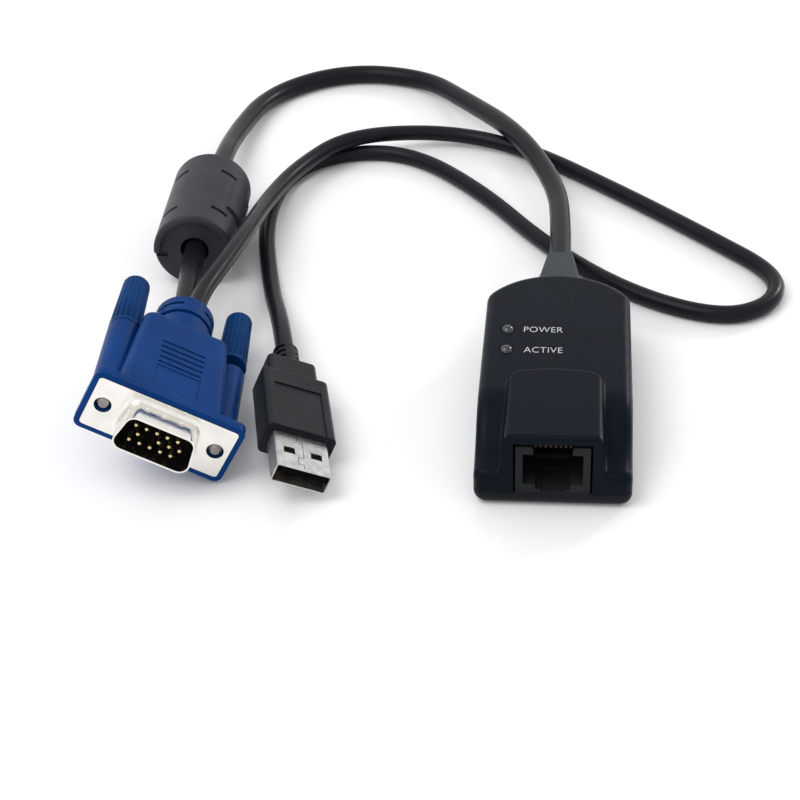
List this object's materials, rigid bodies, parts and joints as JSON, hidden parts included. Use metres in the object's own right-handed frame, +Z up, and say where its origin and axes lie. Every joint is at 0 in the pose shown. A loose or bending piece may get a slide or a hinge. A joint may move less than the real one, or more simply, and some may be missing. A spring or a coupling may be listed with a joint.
{
  "type": "kvm dongle",
  "caption": "Server interface module: a network-socket housing with a cable to a VGA plug with thumbscrews, a thin cable to a USB plug and a clip-on ferrite.",
  "frame": {"origin": "middle of the housing's underside, on the surface it lies on", "axes": "+Z up, +Y from the socket towards the housing's cable, +X to the right seen from the socket end"},
  "size_m": [0.155, 0.2125, 0.0287],
  "materials": {
    "case_plastic": "fine-grained blue-black plastic",
    "case_base_plastic": "fine-grained plastic, a little greyer",
    "board_laminate": "green solder resist",
    "chip_plastic": "black moulded packages",
    "bright_steel": "bright plated steel",
    "can_aluminium": "drawn cans",
    "header_plastic": "cream nylon",
    "wire_skin": "thin PVC",
    "jack_plastic": "black moulding",
    "gold_plating": "gold-plated contacts",
    "lamp_resin": "clear resin",
    "cable_jacket": "soft grey PVC, slight sheen",
    "relief_rubber": "soft grey PVC",
    "hood_plastic": "speckled blue moulding",
    "grip_plastic": "blue moulding, a little brighter",
    "nickel_plating": "nickel-plated steel",
    "insulator_plastic": "black moulding",
    "inner_mould": "translucent inner mould",
    "usb_plastic": "black grained moulding",
    "ferrite_plastic": "dark grey plastic",
    "ferrite_ceramic": "sintered ferrite"
  },
  "bodies": {
    "dongle": {"bottom_cover": "case_base_plastic", "top_cover": "case_plastic", "circuit_board": "board_laminate", "controller_chip": "chip_plastic", "video_chip": "chip_plastic", "memory_chip": "chip_plastic", "crystal": "bright_steel", "capacitors": "can_aluminium", "cable_header": "header_plastic", "header_wires": "wire_skin", "jack_body": "jack_plastic", "jack_contacts": "gold_plating", "power_lamp": "lamp_resin", "active_lamp": "lamp_resin", "lamp_leads": "bright_steel", "case_screws": "bright_steel", "housing_strain_relief": "relief_rubber", "vga_face_shell": "nickel_plating", "vga_insulator": "insulator_plastic", "vga_pins": "gold_plating", "vga_core": "inner_mould", "vga_hood": "hood_plastic", "usb_shell": "nickel_plating", "usb_tongue": "insulator_plastic", "usb_contacts": "gold_plating", "usb_core": "inner_mould", "usb_overmould": "usb_plastic", "ferrite_upper_cover": "ferrite_plastic", "ferrite_lower_cover": "ferrite_plastic", "ferrite_core": "ferrite_ceramic", "main_cable": "cable_jacket", "usb_cable": "cable_jacket"},
    "left_thumbscrew": {"thumbscrew_left_grip": "grip_plastic", "thumbscrew_left_screw": "bright_steel"},
    "right_thumbscrew": {"thumbscrew_right_grip": "grip_plastic", "thumbscrew_right_screw": "bright_steel"}
  },
  "joints": [
    {"name": "left_thumbscrew_turn", "type": "hinge", "parent": "dongle", "child": "left_thumbscrew", "pos_m": [-0.09448, 0.00884, 0.02078], "axis": [-0.0698, 0.9976, 0], "continuous": true},
    {"name": "right_thumbscrew_turn", "type": "hinge", "parent": "dongle", "child": "right_thumbscrew", "pos_m": [-0.0727, 0.01036, 0.00862], "axis": [-0.0698, 0.9976, 0], "continuous": true}
  ]
}
